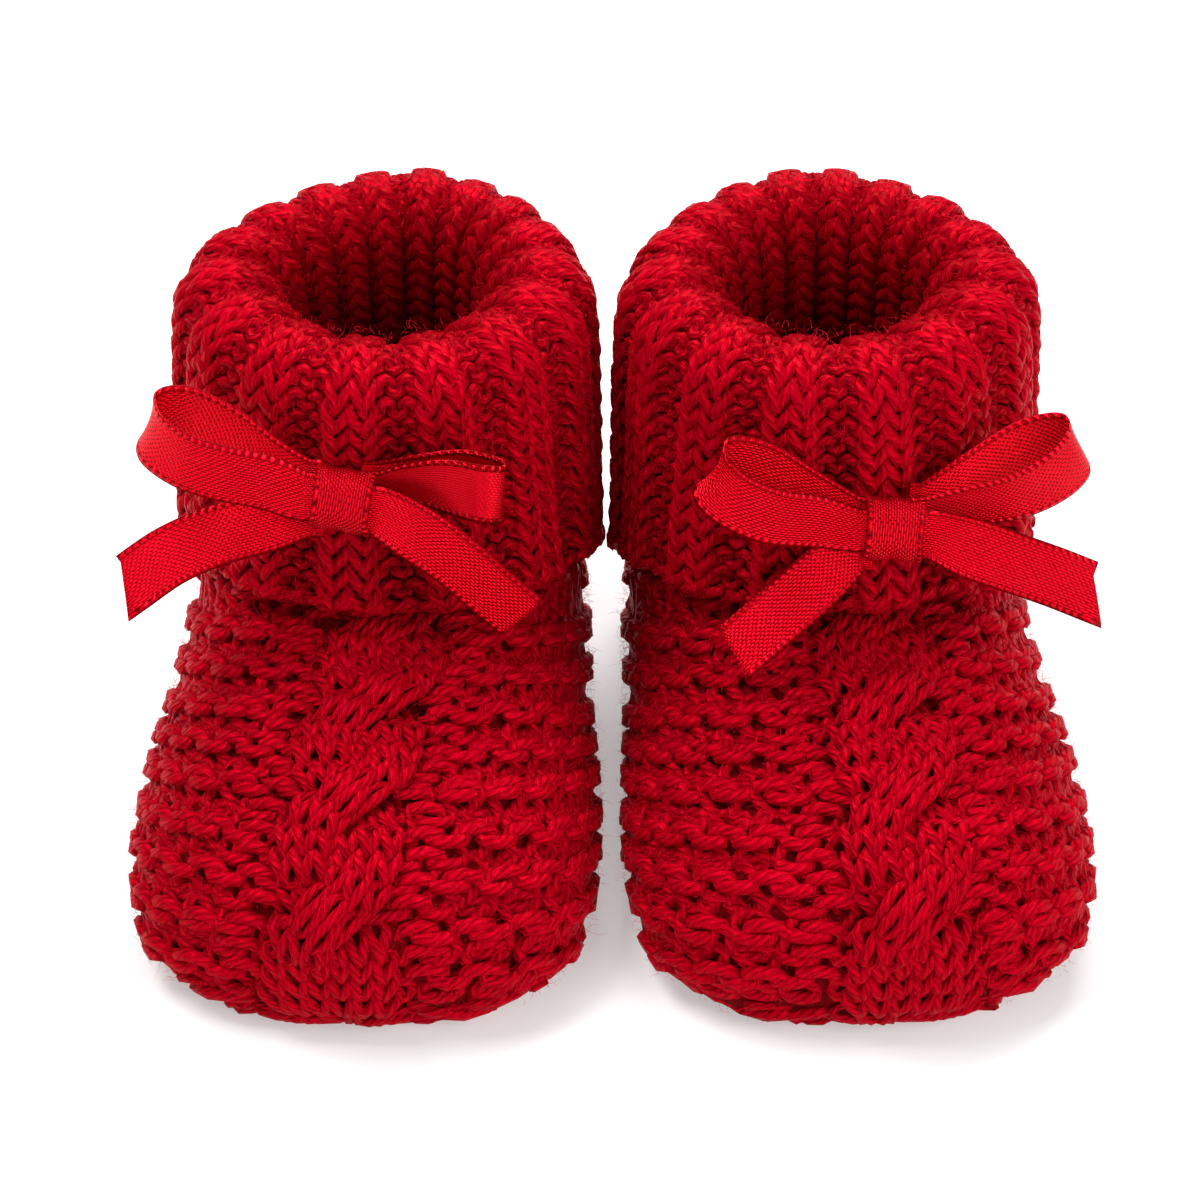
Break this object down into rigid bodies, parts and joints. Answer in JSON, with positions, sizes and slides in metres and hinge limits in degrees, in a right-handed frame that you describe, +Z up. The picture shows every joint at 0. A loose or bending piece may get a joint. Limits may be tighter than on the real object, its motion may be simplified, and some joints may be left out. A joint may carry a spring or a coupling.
{
  "type": "pair of knit booties",
  "caption": "Pair of soft knitted baby booties with a cable on each instep, a turned-down ribbed cuff and a tied satin ribbon bow, open at the ankle.",
  "frame": {"origin": "on the floor, under the middle of the pair's bounding box", "axes": "+Z up from the soles, -Y towards the toes, +X to the right of a viewer who looks at the toes"},
  "size_m": [0.121, 0.0972, 0.067],
  "materials": {
    "foot_knit": "soft crimson yarn, knitted",
    "cuff_knit": "soft crimson yarn, ribbed",
    "knot_satin": "scarlet satin ribbon",
    "ribbon_satin": "scarlet satin ribbon"
  },
  "bodies": {
    "root": {"left_foot": "foot_knit", "left_cuff": "cuff_knit", "left_bow_knot": "knot_satin", "left_bow_loop_left": "ribbon_satin", "left_bow_loop_right": "ribbon_satin", "left_bow_tail_left": "ribbon_satin", "left_bow_tail_right": "ribbon_satin", "right_foot": "foot_knit", "right_cuff": "cuff_knit", "right_bow_knot": "knot_satin", "right_bow_loop_left": "ribbon_satin", "right_bow_loop_right": "ribbon_satin", "right_bow_tail_left": "ribbon_satin", "right_bow_tail_right": "ribbon_satin"}
  },
  "joints": []
}
